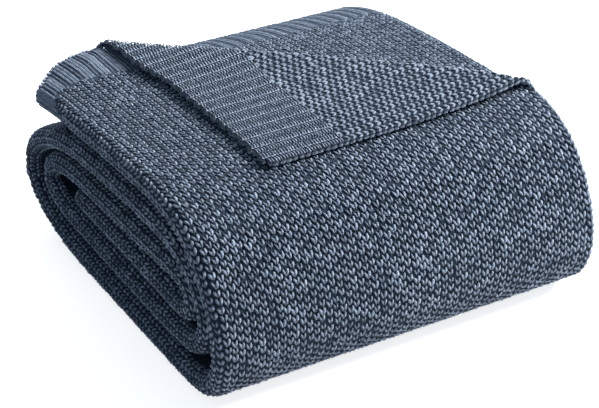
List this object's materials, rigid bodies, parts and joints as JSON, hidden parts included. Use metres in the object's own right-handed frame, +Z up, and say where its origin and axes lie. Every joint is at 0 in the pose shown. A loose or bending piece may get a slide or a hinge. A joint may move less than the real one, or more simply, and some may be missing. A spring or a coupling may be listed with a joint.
{
  "type": "folded knit throw blanket",
  "caption": "Heavy moss-stitch knit throw blanket with ribbed ends, folded lengthwise and rolled flat, one corner turned back.",
  "frame": {"origin": "centre of the footprint box on the surface that the blanket lies on", "axes": "+X to the right along the front of the roll, +Y from the front of the roll to the back, +Z up"},
  "size_m": [0.3076, 0.336, 0.1475],
  "materials": {
    "knit": "slate blue heathered heavy yarn, moss stitch body and ribbed ends, matt"
  },
  "bodies": {
    "root": {"blanket": "knit"}
  },
  "joints": []
}
